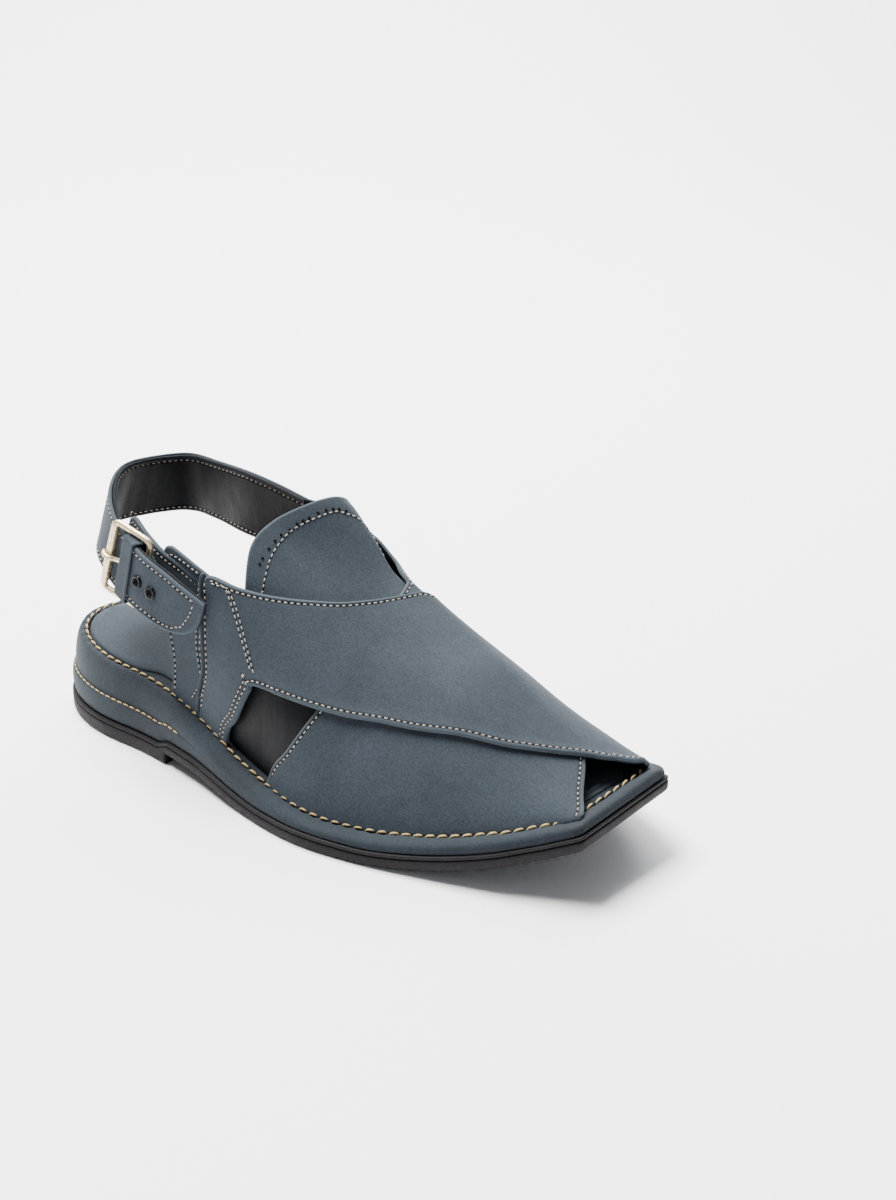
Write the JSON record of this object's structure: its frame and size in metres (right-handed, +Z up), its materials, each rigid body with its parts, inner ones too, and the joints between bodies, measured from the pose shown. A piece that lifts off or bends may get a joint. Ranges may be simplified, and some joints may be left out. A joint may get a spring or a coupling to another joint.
{
  "type": "peshawari chappal",
  "caption": "Closed-front leather sandal for the right foot: two crossed straps on a stitched wedge sole, with a tongue and a buckled heel strap.",
  "frame": {"origin": "on the floor under the middle of the shoe's box, the sole's heel and ball flat on z = 0", "axes": "+X towards the toe, +Y towards the medial (inner) side, +Z up"},
  "size_m": [0.2998, 0.1174, 0.1206],
  "materials": {
    "slate_nubuck": "matt nubuck, brushed",
    "smooth_lining": "smooth, slightly creased",
    "dark_rubber": "matt, fine crepe grain",
    "antique_brass": "worn antique brass, satin",
    "black_eyelet": "black coated, satin"
  },
  "bodies": {
    "root": {"outsole": "dark_rubber", "midsole": "slate_nubuck", "insole": "slate_nubuck", "upper": "slate_nubuck", "gusset_lateral": "smooth_lining", "gusset_medial": "smooth_lining", "tongue": "slate_nubuck", "heel_strap": "slate_nubuck", "chape": "slate_nubuck", "keeper": "slate_nubuck", "buckle_frame": "antique_brass", "buckle_prong": "antique_brass", "eyelet_1": "black_eyelet", "eyelet_2": "black_eyelet"}
  },
  "joints": []
}
